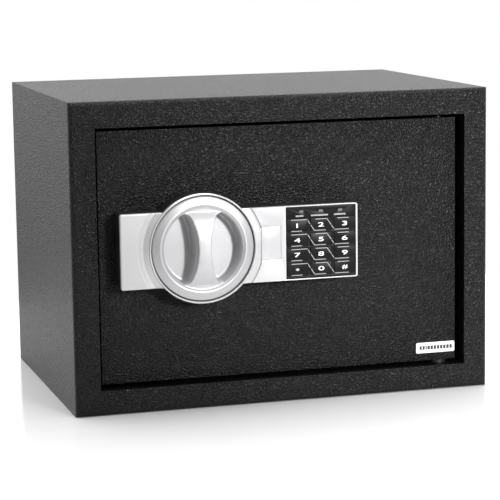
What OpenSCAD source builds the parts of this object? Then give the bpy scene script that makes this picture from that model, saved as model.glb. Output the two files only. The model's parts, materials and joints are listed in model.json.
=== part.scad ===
// In-room safe: a folded steel cabinet, a recessed door hinged at the right, a silver fascia with a keypad,
// and a turn knob that throws two live bolts.
// +Z is up, the door faces -Y, and the origin is the centre of the underside.
// A depth is counted backwards from the cabinet's front face, so a negative depth stands proud of it.

/* [Cabinet] */
// Width of the cabinet
cabinet_w = 350; // [340:1:450]
// Depth of the cabinet, without the knob
cabinet_d = 250; // [200:1:400]
// Height of the cabinet
cabinet_h = 250; // [245:1:300]
// Thickness of the cabinet's steel sheet
sheet_t = 2; // [1.5:0.1:2.5]
// Outer radius of the bends round the front face
bend_r = 4.5; // [3:0.5:8]
// Width of the front border at each side and below the door
border_w = 20.5; // [18:0.5:22]
// Width of the front border above the door
border_top = 21; // [18:0.5:24]
// Radius of the anchor holes in the floor and the back
anchor_r = 5; // [4:0.5:7]
// Distance between the two anchor holes
anchor_pitch = 200; // [120:5:260]

/* [Door] */
// Depth of the door's face
door_recess = 7; // [5:0.5:9]
// Thickness of the door plate
door_t = 4; // [3:0.5:5]
// Gap between the door and the frame at the bolt side
bolt_side_gap = 2.5; // [2.3:0.1:4]
// Gap between the door and the frame at the hinge side
hinge_side_gap = 5.5; // [4:0.1:8]
// Gap below the door
bottom_gap = 3.5; // [3:0.1:5]
// Gap above the door
top_gap = 3; // [2:0.1:5]
// Depth of the inner cover behind the door plate
cover_depth = 37; // [36:1:50]

/* [Fascia] */
// Width of the fascia
fascia_w = 195.6; // [190:0.1:200]
// Height of the fascia
fascia_h = 60; // [60:0.5:70]
// Middle of the fascia, sideways from the middle of the cabinet
fascia_x = -41.6; // [-45:0.1:-38]
// Height of the middle of the fascia and of the knob
control_z = 132.4; // [125:0.1:140]
// Depth of the fascia's face
fascia_face = -14; // [-16:0.5:-12]
// Distance between two columns of keys
column_pitch = 20; // [19.5:0.1:20.5]
// Distance between two rows of keys
row_pitch = 11.85; // [11.7:0.05:12]

/* [Knob] */
// Middle of the knob, sideways from the middle of the cabinet
knob_x = -72.8; // [-75:0.1:-70]
// Outer radius of the turning knob
knob_r = 41.9; // [40:0.1:42]
// Depth of the flat ring of the knob
knob_rim = -16; // [-18:0.5:-15]
// How far the grip bar stands ahead of the ring
grip_rise = 6; // [3:0.5:9]
// Half the width of the grip bar at its waist
grip_half = 6; // [5:0.5:8]

/* [Bolts] */
// Radius of each live bolt
bolt_r = 9; // [7:0.5:9.5]
// Distance from the knob's axis up and down to the bolts
bolt_offset = 45; // [44:1:50]
// How far a quarter turn of the knob throws the bolts
throw = 16; // [14:0.5:16]

/* [Hidden] */
KEYS = ["1", "2", "3", "4", "5", "6", "7", "8", "9", "star", "0", "hash"];

$fn = 72;
// Room round a shaft that turns or slides in its hole, and round a part that only sits in one
run_gap = 0.05;
seat_gap = 0.02;

// Doorway and door
front_y = -cabinet_d / 2;
open_x = cabinet_w / 2 - border_w;
open_z0 = border_w;
open_z1 = cabinet_h - border_top;
door_x0 = -open_x + bolt_side_gap;
door_x1 = open_x - hinge_side_gap;
door_z0 = open_z0 + bottom_gap;
door_z1 = open_z1 - top_gap;
door_back = door_recess + door_t;
anchor_back_z = 0.6 * cabinet_h;
short_return = 12;
long_return = 30;
strike_t = 3;
strike_reach = 8;
mat_t = 2.5;
mat_gap = 3;
label_w = 34;
label_h = 8.8;
label_x = door_x1 - 17.5;
label_z = door_z0 + 10.6;

// Hinge: two short pins on one vertical axis, just behind the door plate
hinge_x = door_x1 - 12;
hinge_depth = door_recess + 10;
pin_r = 4;
pin_len = 27;
lug_w = 16;
lug_h = 18;
washer_t = 3;

// Fascia
fascia_x0 = fascia_x - fascia_w / 2;
fascia_x1 = fascia_x + fascia_w / 2;
face_t = 3;
base_front = fascia_face + face_t;
base_floor = door_recess - 3;
base_wall = 1.2;
corner_r = 1.8;
well_r = knob_r + 0.4;
well_wall = 1.2;
collar_r = well_r + 1.6;
collar_back = -13;
foot_w = 4;
foot_rise = 1.2;
post_r = 4;
screw_r = 1.9;
screw_head_r = 3.6;
screw_head_h = 2.2;
fascia_screw_xs = [fascia_x0 + 19.4, -14];
fascia_screw_dz = 23.6;

// Keypad, at the right end of the fascia with a narrow silver edge
plate_w = 59;
plate_h = 58.4;
plate_x = fascia_x1 - 1.4 - plate_w / 2;
plate_face = fascia_face + 0.4;
plate_back = base_front;
keys_z = control_z - 3.9;
key_w = 17.6;
key_h = 10.4;
key_gap = 0.25;
key_lip = 0.6;
key_travel = 0.6;
flange_back = plate_back + 0.9;
mat_front = flange_back + key_travel + 0.2;
keypad_board_front = mat_front + 0.9;
lens_z = control_z + 25;
lens_pitch = 16.4;
lens_w = 3.7;
lens_h = 1.9;

// Override lock and its cover
lock_x = -16.6;
lock_z = control_z + 1.1;
lock_cover_w = 16.7;
lock_cover_h = 27;
lock_front = -9;
barrel_r = 7.5;
plug_r = 5;
keyway_w = 2;
keyway_h = 7;
keyway_deep = 18;
cam_depth = 24;
cam_t = 2;
cam_reach = 16;
cam_half = 4;

// Knob, shaft and crank: the crank pin swings 45 degrees either side of upright
shaft_r = 6;
knob_back = 1;
pocket_r = 32;
pocket_side_r = 63.75;
pocket_floor = 0;
bush_r = 8;
crank_depth = 20;
crank_t = 3.5;
crank_arm = throw / (2 * sin(45));
crank_pin_r = 3;

// Bolt carriage
carriage_depth = 26.5;
carriage_t = 3;
bolt_depth = 22;
bolt_stem_r = 4;
bolt_nut_flats = 13;
bolt_nut_t = 5;
bolt_chamfer = 1.5;
bolt_tip = door_x0 + 1;
web_x = -113;
web_half = 8.5;
flange_x1 = -50;
flange_half = 36;
stud_x = -80;
stud_dz = 28;
stud_r = 3;
tooth_x = -29.5;
tooth_w = 4;
arm_z0 = control_z - 28.4;
arm_h = 8;
tooth_h = 8;

// Solenoid: its plunger stands between the two places of the carriage's tooth
plunger_x = tooth_x - throw / 2;
plunger_depth = carriage_depth + carriage_t / 2;
plunger_r = 3.5;
plunger_top = arm_z0 - tooth_h - 1;
solenoid_w = 24;
solenoid_z0 = plunger_top - 35;
solenoid_z1 = plunger_top - 5;
solenoid_back = 40;
solenoid_t = 2;
coil_r = 10;
collar_t = 1.5;

// Inner cover and what it carries
cover_t = 1.2;
cover_x0 = -140;
cover_x1 = 105;
cover_z0 = control_z - 87.4;
cover_z1 = control_z + 72.6;
cover_flange = 11;
cover_screw_xs = [cover_x0 + 30, cover_x1 - 15];
cover_back = door_back + cover_depth;
cell_r = 7.2;
cell_len = 50.5;
cell_pitch = 15.5;
cell_count = 4;
battery_x = 57;
battery_z = control_z;
battery_w = 66;
battery_h = cell_count * cell_pitch + 6;
tray_t = 1.5;
tray_deep = 18.6;
tray_front = cover_back - cover_t - tray_deep;
cell_depth = tray_front + tray_t + cell_r + 0.2;
cell_nib = 1.2;
board_depth = door_back + 4;
board_x0 = 15;
board_x1 = 75;
board_z0 = cover_z0 + 7;
board_z1 = board_z0 + 38;
pcb_t = 1.6;
ribbon_x0 = 22;
ribbon_x1 = 34;
ribbon_z = control_z - 21;
reset_x = 60;
reset_z = cover_z1 - 20;
reset_r = 2.6;

// A plate drawn in X and Z, from one depth to another
module slab(d0, d1) {
    translate([0, front_y + d1, 0])
        rotate([90, 0, 0])
            linear_extrude(d1 - d0)
                children();
}

// A block between two values of X, depth and Z
module block(x0, x1, d0, d1, z0, z1) {
    translate([x0, front_y + d0, z0])
        cube([x1 - x0, d1 - d0, z1 - z0]);
}

module rod_y(x, z, r, d0, d1) {
    translate([x, front_y + d1, z])
        rotate([90, 0, 0])
            cylinder(r = r, h = d1 - d0);
}

module rod_z(x, d, r, z0, z1) {
    translate([x, front_y + d, z0])
        cylinder(r = r, h = z1 - z0);
}

module rod_x(d, z, r, x0, x1) {
    translate([x0, front_y + d, z])
        rotate([0, 90, 0])
            cylinder(r = r, h = x1 - x0);
}

// A hexagonal nut that lies across X or Y is this prism, turned
module hex_prism(flats, h) {
    cylinder(r = flats / sqrt(3), h = h, $fn = 6);
}

module rounded_rect(w, h, r) {
    square([w - 2 * r, h], center = true);
    square([w, h - 2 * r], center = true);
    for (x = [-1, 1], z = [-1, 1])
        translate([x * (w / 2 - r), z * (h / 2 - r)])
            circle(r);
}

module fascia_outline(r = corner_r, inset = 0) {
    translate([fascia_x, control_z])
        rounded_rect(fascia_w - 2 * inset, fascia_h - 2 * inset, r);
}

// A rectangle with its two front corners rounded, the front being low Y
module front_bent(w, d, r) {
    translate([-w / 2, r])
        square([w, d - r]);
    translate([-w / 2 + r, 0])
        square([w - 2 * r, r]);
    for (x = [-1, 1])
        translate([x * (w / 2 - r), r])
            circle(r);
}

// A box whose four front edges are rounded, as folded sheet is: two bent profiles that cross
module bent_box(w, h, d, r) {
    intersection() {
        translate([0, 0, -h / 2])
            linear_extrude(h)
                front_bent(w, d, r);
        rotate([0, -90, 0])
            translate([0, 0, -w / 2])
                linear_extrude(w)
                    front_bent(h, d, r);
    }
}

module anchor_holes(r, length) {
    for (x = [-1, 1])
        translate([x * anchor_pitch / 2, 0, 0])
            cylinder(r = r, h = length, center = true);
}

// ---- Cabinet ----

// Top, sides and floor: a folded wrap, welded flush to the back of the front frame
module body_shell() {
    color("#1b1b1d")
        difference() {
            block(-cabinet_w / 2, cabinet_w / 2, bend_r, cabinet_d, 0, cabinet_h);
            block(-cabinet_w / 2 + sheet_t, cabinet_w / 2 - sheet_t, 0, cabinet_d + 1,
                  sheet_t, cabinet_h - sheet_t);
            anchor_holes(anchor_r, 6 * sheet_t);
        }
}

module back_panel() {
    color("#1b1b1d")
        difference() {
            block(-cabinet_w / 2 + sheet_t, cabinet_w / 2 - sheet_t, cabinet_d - sheet_t, cabinet_d,
                  sheet_t, cabinet_h - sheet_t);
            translate([0, -front_y, anchor_back_z])
                rotate([90, 0, 0])
                    anchor_holes(anchor_r, 6 * sheet_t);
        }
}

// The front border, as deep as its outer bends
module front_border() {
    difference() {
        translate([0, front_y, cabinet_h / 2])
            bent_box(cabinet_w, cabinet_h, cabinet_d, bend_r);
        translate([0, front_y + sheet_t, cabinet_h / 2])
            bent_box(cabinet_w - 2 * sheet_t, cabinet_h - 2 * sheet_t, cabinet_d, bend_r - sheet_t);
        block(-cabinet_w, cabinet_w, bend_r, cabinet_d + 1, -1, cabinet_h + 1);
    }
}

// The border and the doorway's returns, the left one short so that the bolts pass behind it
module door_frame() {
    color("#1b1b1d")
        difference() {
            union() {
                front_border();
                block(-open_x - sheet_t, open_x + sheet_t, sheet_t, short_return,
                      open_z0 - sheet_t, open_z1 + sheet_t);
                block(-open_x + lug_w, open_x + sheet_t, sheet_t, long_return,
                      open_z0 - sheet_t, open_z1 + sheet_t);
            }
            block(-open_x, open_x, -1, long_return + 1, open_z0, open_z1);
            rod_z(hinge_x, hinge_depth, pin_r + seat_gap, open_z0 - sheet_t - 1, open_z1 + sheet_t + 1);
        }
}

module strike_bar() {
    color("#161618")
        block(-cabinet_w / 2 + sheet_t, -open_x - sheet_t, short_return - strike_t, short_return,
              open_z0 - strike_reach, open_z1 + strike_reach);
}

module hinge_pins() {
    color("#232326") {
        rod_z(hinge_x, hinge_depth, pin_r, open_z0 - sheet_t, open_z0 - sheet_t + pin_len);
        rod_z(hinge_x, hinge_depth, pin_r, open_z1 + sheet_t - pin_len, open_z1 + sheet_t);
    }
}

module hinge_washers() {
    color("#1a1a1c")
        difference() {
            rod_z(hinge_x, hinge_depth, pin_r + 3, open_z0, open_z0 + washer_t);
            rod_z(hinge_x, hinge_depth, pin_r + seat_gap, 0, cabinet_h);
        }
}

module floor_mat() {
    color("#2a2a2d")
        difference() {
            block(-cabinet_w / 2 + sheet_t + mat_gap, cabinet_w / 2 - sheet_t - mat_gap,
                  sheet_t + mat_gap, cabinet_d - sheet_t - mat_gap, sheet_t, sheet_t + mat_t);
            anchor_holes(anchor_r + 3, 10 * sheet_t);
        }
}

// ---- Door ----

module fascia_screw_places() {
    for (x = fascia_screw_xs, z = [-1, 1])
        translate([x, 0, control_z + z * fascia_screw_dz])
            children();
}

module cover_screw_places() {
    for (x = cover_screw_xs, z = [cover_z0 - cover_flange / 2, cover_z1 + cover_flange / 2])
        translate([x, 0, z])
            children();
}

module door_panel() {
    color("#1b1b1d")
        difference() {
            block(door_x0, door_x1, door_recess, door_back, door_z0, door_z1);
            rod_y(knob_x, control_z, bush_r + seat_gap, 0, 2 * door_back);
            rod_y(lock_x, lock_z, barrel_r + seat_gap, 0, 2 * door_back);
            fascia_screw_places() rod_y(0, 0, screw_r + 0.3, 0, 2 * door_back);
            cover_screw_places() rod_y(0, 0, screw_r + seat_gap, door_recess + 1, 2 * door_back);
            ribbon_hole();
        }
}

module ribbon_hole() {
    block(ribbon_x0 - 3, ribbon_x1 + 3, 0, 2 * door_back, ribbon_z - 5, ribbon_z + 7);
}

module hinge_lug(z0) {
    color("#161618")
        difference() {
            union() {
                block(hinge_x - lug_w / 2, hinge_x + lug_w / 2, door_back, hinge_depth, z0, z0 + lug_h);
                rod_z(hinge_x, hinge_depth, lug_w / 2, z0, z0 + lug_h);
            }
            block(hinge_x - lug_w, hinge_x + lug_w, 0, door_back, z0 - 1, z0 + lug_h + 1);
            rod_z(hinge_x, hinge_depth, pin_r + run_gap, z0 - 1, z0 + lug_h + 1);
        }
}

module hinge_lugs() {
    hinge_lug(open_z0 + washer_t + 0.1);
    hinge_lug(door_z1 - lug_h - 2);
}

module serial_label() {
    color("white")
        slab(door_recess - 0.2, door_recess)
            translate([label_x, label_z])
                rounded_rect(label_w, label_h, 1.2);
}

module inner_cover() {
    color("#1b1b1d")
        difference() {
            union() {
                block(cover_x0, cover_x1, door_back, cover_back, cover_z0, cover_z1);
                block(cover_x0, cover_x1, door_back, door_back + cover_t,
                      cover_z0 - cover_flange, cover_z1 + cover_flange);
            }
            block(cover_x0 + cover_t, cover_x1 - cover_t, 0, cover_back - cover_t,
                  cover_z0 + cover_t, cover_z1 - cover_t);
            for (z = [-1, 1])
                rod_x(bolt_depth, control_z + z * bolt_offset, bolt_r + 0.6, cover_x0 - 1, cover_x0 + 5);
            cover_screw_places() rod_y(0, 0, screw_r + 0.3, 0, cover_back);
            slab(cover_back - 2 * cover_t, cover_back + 1)
                translate([battery_x, battery_z])
                    square([battery_w - 4, battery_h - 4], center = true);
            rod_y(reset_x, reset_z, reset_r + 0.6, cover_back - 2 * cover_t, cover_back + 1);
        }
}

// Pan-head screw with its head at the back
module pan_screw(length, d_head) {
    rod_y(0, 0, screw_r, d_head - length, d_head);
    rod_y(0, 0, screw_head_r, d_head, d_head + screw_head_h);
}

module fascia_screws() {
    color("silver")
        fascia_screw_places() pan_screw(door_back + 6, door_back);
}

module cover_screws() {
    color("silver")
        cover_screw_places() pan_screw(cover_t + door_t - 1.5, door_back + cover_t);
}

// ---- Fascia ----

module fascia_base() {
    color("#141416")
        difference() {
            union() {
                slab(base_front, door_recess) fascia_outline();
                rod_y(knob_x, control_z, well_r + well_wall, collar_back, door_recess);
            }
            slab(base_front - 1, base_floor)
                difference() {
                    fascia_outline(r = 0.5, inset = base_wall);
                    translate([knob_x, control_z]) circle(well_r + well_wall);
                    fascia_posts();
                }
            rod_y(knob_x, control_z, well_r, collar_back - 1, base_floor);
            rod_y(knob_x, control_z, bush_r + seat_gap, 0, 2 * door_back);
            rod_y(lock_x, lock_z, barrel_r + seat_gap, 0, 2 * door_back);
            fascia_screw_places() rod_y(0, 0, screw_r + seat_gap, -7, 2 * door_back);
            ribbon_hole();
        }
}

// Screw posts, which stand on the base's floor
module fascia_posts() {
    for (x = fascia_screw_xs, z = [-1, 1])
        translate([x, control_z + z * fascia_screw_dz])
            circle(post_r);
}

module keypad_window(grow) {
    translate([plate_x, control_z])
        rounded_rect(plate_w + 2 * grow, plate_h + 2 * grow, 1);
}

module lock_window(grow) {
    translate([lock_x, lock_z])
        rounded_rect(lock_cover_w + 2 * grow, lock_cover_h + 2 * grow, 1);
}

module fascia_cover() {
    color("#d9dadd")
        difference() {
            union() {
                slab(fascia_face, base_front) fascia_outline();
                // shallow conical foot round the collar
                intersection() {
                    slab(fascia_face - foot_rise, base_front) fascia_outline();
                    translate([knob_x, front_y + base_front, control_z])
                        rotate([90, 0, 0])
                            rotate_extrude()
                                polygon([[0, 0], [collar_r + foot_w, 0], [collar_r + foot_w, face_t],
                                         [collar_r, face_t + foot_rise], [0, face_t + foot_rise]]);
                }
            }
            rod_y(knob_x, control_z, collar_r + seat_gap, -40, door_recess);
            slab(-40, 0) keypad_window(0);
            slab(-40, 0) lock_window(0);
        }
}

module knob_collar() {
    color("#c4c5c9")
        difference() {
            rod_y(knob_x, control_z, collar_r, knob_rim - 0.5, collar_back);
            rod_y(knob_x, control_z, well_r, knob_rim - 1, collar_back + 1);
        }
}

// ---- Keypad ----

function key_x(i) = plate_x + (i % 3 - 1) * column_pitch;
function key_z(i) = keys_z + (1.5 - floor(i / 3)) * row_pitch;

module keypad_plate() {
    color("#101012")
        difference() {
            slab(plate_face, plate_back)
                translate([plate_x, control_z])
                    rounded_rect(plate_w - 0.3, plate_h - 0.3, 1);
            for (i = [0:len(KEYS) - 1])
                slab(plate_face - 1, plate_back + 1)
                    translate([key_x(i), key_z(i)])
                        rounded_rect(key_w + 2 * key_gap, key_h + 2 * key_gap, 1);
            for (i = [-1:1])
                slab(plate_face - 1, plate_back + 1)
                    translate([plate_x + i * lens_pitch, lens_z])
                        rounded_rect(lens_w + 0.1, lens_h + 0.1, 0.8);
        }
}

// A key: its cap in the plate and a flange behind that keeps it in
module key_cap(i) {
    color("#121214")
        translate([key_x(i), 0, key_z(i)]) {
            slab(plate_face - 0.3, plate_back + 0.1) rounded_rect(key_w, key_h, 0.9);
            slab(plate_back + 0.1, flange_back) rounded_rect(key_w + 2 * key_lip, key_h + 2 * key_lip, 0.9);
        }
}

module key_mat() {
    color("#4a4a4e")
        slab(mat_front, keypad_board_front)
            translate([plate_x, control_z])
                rounded_rect(plate_w - 4, plate_h - 4, 1);
}

module keypad_board() {
    color("#1f5a37")
        slab(keypad_board_front, keypad_board_front + pcb_t)
            translate([plate_x, control_z])
                rounded_rect(plate_w - 5, plate_h - 4, 1);
}

module indicator_lenses() {
    color("#3d3d42")
        for (i = [-1:1])
            slab(plate_face - 0.1, plate_back)
                translate([plate_x + i * lens_pitch, lens_z])
                    rounded_rect(lens_w, lens_h, 0.7);
}

// Flat cable from the keypad board, through the door, down to the control board
module keypad_ribbon() {
    color("#77777c") {
        block(ribbon_x0, ribbon_x1, keypad_board_front + pcb_t, board_depth - 1, ribbon_z, ribbon_z + 1);
        block(ribbon_x0, ribbon_x1, board_depth - 2, board_depth - 1, board_z1 - 6, ribbon_z + 1);
        block(ribbon_x0, ribbon_x1, board_depth - 2, board_depth, board_z1 - 6, board_z1 - 5);
    }
}

// ---- Override lock ----

module key_cover() {
    color("#d9dadd") {
        slab(fascia_face - 0.2, base_front) lock_window(-0.25);
        slab(base_front, base_front + 1) lock_window(-3);
    }
}

module lock_cylinder() {
    color("#b8b9bd")
        difference() {
            rod_y(lock_x, lock_z, barrel_r, lock_front, cam_depth - 0.5);
            rod_y(lock_x, lock_z, plug_r + run_gap, lock_front - 1, cam_depth);
        }
}

module lock_nut() {
    nut_flats = 19;
    nut_t = 3;
    color("silver")
        translate([lock_x, front_y + door_back + nut_t, lock_z])
            difference() {
                rotate([90, 0, 0]) hex_prism(nut_flats, nut_t);
                translate([0, 1, 0]) rotate([90, 0, 0]) cylinder(r = barrel_r + seat_gap, h = 5);
            }
}

module lock_plug() {
    color("#c9a955")
        difference() {
            rod_y(lock_x, lock_z, plug_r, lock_front - 0.3, cam_depth);
            block(lock_x - keyway_w / 2, lock_x + keyway_w / 2, lock_front - 1, lock_front + keyway_deep,
                  lock_z - keyway_h / 2, lock_z + keyway_h / 2);
        }
}

// The cam hangs straight down and turns a quarter turn
module lock_cam() {
    color("#b8b9bd")
        slab(cam_depth, cam_depth + cam_t) {
            translate([lock_x, lock_z]) circle(plug_r + 1);
            translate([lock_x - cam_half, lock_z - cam_reach]) square([2 * cam_half, cam_reach]);
            translate([lock_x, lock_z - cam_reach]) circle(cam_half);
        }
}

// ---- Knob and crank ----

// One finger pocket is the lens that two circles share: the ring's inside and the grip's hollow side
module pocket_shape() {
    intersection() {
        circle(pocket_r);
        translate([-grip_half - pocket_side_r, 0]) circle(pocket_side_r);
    }
}

module knob() {
    color("#b9babe")
        difference() {
            union() {
                rod_y(knob_x, control_z, knob_r, knob_rim, knob_back);
                slab(knob_rim - grip_rise, knob_rim)
                    translate([knob_x, control_z])
                        difference() {
                            intersection() {
                                circle(pocket_r - 2);
                                square([4 * grip_half, 2 * pocket_r], center = true);
                            }
                            pocket_shape();
                            mirror([1, 0]) pocket_shape();
                        }
            }
            slab(knob_rim - grip_rise - 1, pocket_floor)
                translate([knob_x, control_z]) {
                    pocket_shape();
                    mirror([1, 0]) pocket_shape();
                }
            rod_y(knob_x, control_z, shaft_r + seat_gap, -4, knob_back + 1);
        }
}

module knob_shaft() {
    color("silver")
        rod_y(knob_x, control_z, shaft_r, -4, crank_depth + crank_t + 2);
}

module shaft_bushing() {
    color("#d8c27a")
        difference() {
            union() {
                rod_y(knob_x, control_z, bush_r, base_floor, crank_depth - 1);
                rod_y(knob_x, control_z, bush_r + 4, door_back, door_back + 2);
            }
            rod_y(knob_x, control_z, shaft_r + run_gap, 0, crank_depth);
        }
}

module crank_disc() {
    color("silver")
        difference() {
            rod_y(knob_x, control_z, crank_arm + 5, crank_depth, crank_depth + crank_t);
            rod_y(knob_x, control_z, shaft_r + seat_gap, 0, 40);
        }
}

module shaft_clip() {
    color("silver")
        difference() {
            rod_y(knob_x, control_z, shaft_r + 2, crank_depth + crank_t, crank_depth + crank_t + 1);
            rod_y(knob_x, control_z, shaft_r + seat_gap, 0, 40);
        }
}

module crank_pin() {
    color("silver")
        rod_y(knob_x + throw / 2, control_z + throw / 2, crank_pin_r, crank_depth + crank_t,
              carriage_depth + carriage_t + 1.5);
}

// ---- Bolts ----

module bolt_places() {
    for (z = [-1, 1])
        translate([0, 0, control_z + z * bolt_offset])
            children();
}

module bolt_carriage() {
    slot_half = crank_pin_r + 0.45;
    color("#a9aab0")
        difference() {
            union() {
                block(web_x, web_x + carriage_t, bolt_depth - web_half, bolt_depth + web_half,
                      control_z - bolt_offset - 13, control_z + bolt_offset + 13);
                block(web_x, flange_x1, carriage_depth, carriage_depth + carriage_t,
                      control_z - flange_half, control_z + flange_half);
                block(flange_x1, tooth_x + tooth_w / 2, carriage_depth, carriage_depth + carriage_t,
                      arm_z0, arm_z0 + arm_h);
                block(tooth_x - tooth_w / 2, tooth_x + tooth_w / 2, carriage_depth,
                      carriage_depth + carriage_t, arm_z0 - tooth_h, arm_z0);
            }
            bolt_places() rod_x(bolt_depth, 0, bolt_stem_r + seat_gap, web_x - 1, web_x + carriage_t + 1);
            // upright slot that the crank pin works in
            block(knob_x + throw / 2 - slot_half, knob_x + throw / 2 + slot_half, 0, 40,
                  control_z + throw / 2 - crank_pin_r - 1, control_z + crank_arm + crank_pin_r + 1);
            for (z = [-1, 1])
                slab(0, 40)
                    translate([stud_x + throw / 2, control_z + z * stud_dz])
                        rounded_rect(throw + 2 * stud_r + 1, 2 * stud_r + 0.4, stud_r);
        }
}

module live_bolts() {
    color("#c8c9ce")
        bolt_places() {
            rod_x(bolt_depth, 0, bolt_r, bolt_tip + bolt_chamfer, web_x);
            translate([bolt_tip, front_y + bolt_depth, 0])
                rotate([0, 90, 0])
                    cylinder(r1 = bolt_r - bolt_chamfer, r2 = bolt_r, h = bolt_chamfer);
            rod_x(bolt_depth, 0, bolt_stem_r, web_x, web_x + carriage_t + bolt_nut_t + 2);
        }
}

module bolt_nuts() {
    color("silver")
        bolt_places()
            difference() {
                translate([web_x + carriage_t, front_y + bolt_depth, 0])
                    rotate([0, 90, 0]) hex_prism(bolt_nut_flats, bolt_nut_t);
                rod_x(bolt_depth, 0, bolt_stem_r + seat_gap, web_x, web_x + 20);
            }
}

module bolt_bracket() {
    bracket_x = cover_x0 + 3;
    bracket_t = 3;
    bracket_half = bolt_offset + 14;
    color("#a9aab0")
        difference() {
            union() {
                block(bracket_x, bracket_x + bracket_t, door_back, bolt_depth + bolt_r + 3,
                      control_z - bracket_half, control_z + bracket_half);
                block(bracket_x, bracket_x + 12, door_back, door_back + 2,
                      control_z - bracket_half, control_z + bracket_half);
            }
            bolt_places() rod_x(bolt_depth, 0, bolt_r + run_gap, bracket_x - 1, bracket_x + 13);
        }
}

module carriage_studs() {
    color("silver")
        for (z = [-1, 1])
            translate([stud_x, 0, control_z + z * stud_dz]) {
                rod_y(0, 0, stud_r + 2, door_back, carriage_depth - 0.2);
                rod_y(0, 0, stud_r, carriage_depth - 0.2, carriage_depth + carriage_t + 0.2);
                rod_y(0, 0, stud_r + 2, carriage_depth + carriage_t + 0.2, carriage_depth + carriage_t + 2.5);
            }
}

// ---- Solenoid ----

module solenoid_frame() {
    color("#a9aab0")
        difference() {
            block(plunger_x - solenoid_w / 2, plunger_x + solenoid_w / 2, door_back, solenoid_back,
                  solenoid_z0, solenoid_z1);
            block(plunger_x - solenoid_w, plunger_x + solenoid_w, door_back + solenoid_t, solenoid_back + 1,
                  solenoid_z0 + solenoid_t, solenoid_z1 - solenoid_t);
            rod_z(plunger_x, plunger_depth, plunger_r + run_gap, solenoid_z1 - 3, solenoid_z1 + 1);
        }
}

module solenoid_coil() {
    color("#8a3b1e")
        difference() {
            rod_z(plunger_x, plunger_depth, coil_r, solenoid_z0 + solenoid_t, solenoid_z1 - solenoid_t);
            rod_z(plunger_x, plunger_depth, plunger_r + run_gap, 0, cabinet_h);
        }
}

module solenoid_plunger() {
    color("silver") {
        rod_z(plunger_x, plunger_depth, plunger_r, solenoid_z0 + 4, plunger_top);
        rod_z(plunger_x, plunger_depth, plunger_r + 1.3, plunger_top - collar_t, plunger_top);
    }
}

// Square-cut return spring round the plunger, squeezed while the coil holds the plunger in
module plunger_spring() {
    turns = 3;
    wire = 0.5;
    steps = 20;
    sides = 8;
    turn_r = plunger_r + wire / 2 + 0.3;
    rise = plunger_top - collar_t - solenoid_z1 - wire;
    count = turns * steps;
    function wire_point(i, j) = let (a = 360 * i / steps, b = 360 * j / sides, r = turn_r + wire / 2 * cos(b))
        [r * cos(a), r * sin(a), rise * i / count + wire / 2 * sin(b)];
    points = [for (i = [0:count], j = [0:sides - 1]) wire_point(i, j)];
    skin = [for (i = [0:count - 1], j = [0:sides - 1])
        let (n = (j + 1) % sides)
        [i * sides + j, i * sides + n, (i + 1) * sides + n, (i + 1) * sides + j]];
    first_end = [for (j = [sides - 1:-1:0]) j];
    last_end = [for (j = [0:sides - 1]) count * sides + j];
    color("#c8c9ce")
        translate([plunger_x, front_y + plunger_depth, solenoid_z1 + wire / 2])
            polyhedron(points = points, faces = concat(skin, [first_end, last_end]));
}

// ---- Electronics and batteries ----

module control_board() {
    color("#1f5a37") {
        block(board_x0, board_x1, board_depth, board_depth + pcb_t, board_z0, board_z1);
        block(board_x0 + 20, board_x0 + 34, board_depth + pcb_t, board_depth + pcb_t + 3,
              board_z0 + 12, board_z0 + 26);
        block(board_x1 - 16, board_x1 - 6, board_depth + pcb_t, board_depth + pcb_t + 6,
              board_z0 + 8, board_z0 + 18);
        for (x = [board_x0 + 4, board_x1 - 4], z = [board_z0 + 4, board_z1 - 4])
            rod_y(x, z, 2.5, door_back, board_depth);
    }
}

module battery_holder() {
    color("#1a1a1c")
        difference() {
            slab(tray_front, cover_back - cover_t)
                translate([battery_x, battery_z]) square([battery_w, battery_h], center = true);
            slab(tray_front + tray_t, cover_back)
                translate([battery_x, battery_z])
                    square([battery_w - 2 * tray_t, battery_h - 2 * tray_t], center = true);
        }
}

module cell_places() {
    for (i = [0:cell_count - 1])
        translate([0, 0, battery_z + (i - (cell_count - 1) / 2) * cell_pitch])
            children();
}

module batteries() {
    color("#c48a3a")
        cell_places() {
            rod_x(cell_depth, 0, cell_r, battery_x - cell_len / 2, battery_x + cell_len / 2 - cell_nib);
            rod_x(cell_depth, 0, 2.7, battery_x + cell_len / 2 - cell_nib, battery_x + cell_len / 2);
        }
}

module battery_contacts() {
    end = battery_w / 2 - tray_t;
    plate_t = 0.6;
    color("#c8c9ce")
        cell_places() {
            rod_x(cell_depth, 0, 5, battery_x - end, battery_x - end + plate_t);
            rod_x(cell_depth, 0, 3, battery_x - end + plate_t, battery_x - cell_len / 2);
            rod_x(cell_depth, 0, 5, battery_x + end - plate_t, battery_x + end);
            rod_x(cell_depth, 0, 2, battery_x + cell_len / 2, battery_x + end - plate_t);
        }
}

module battery_lid() {
    color("#1a1a1c")
        translate([battery_x, 0, battery_z]) {
            slab(cover_back + 0.1, cover_back + 2) rounded_rect(battery_w + 4, battery_h + 4, 2);
            slab(cover_back - cover_t, cover_back + 0.1)
                square([battery_w - 4.6, battery_h - 4.6], center = true);
        }
}

module reset_switch() {
    color("#1a1a1c")
        difference() {
            rod_y(reset_x, reset_z, 6, cover_back - 12, cover_back - cover_t);
            rod_y(reset_x, reset_z, reset_r + run_gap, cover_back - 10, cover_back);
        }
}

module reset_button() {
    color("#b3201c")
        rod_y(reset_x, reset_z, reset_r, cover_back - 7.5, cover_back + 2);
}

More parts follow.
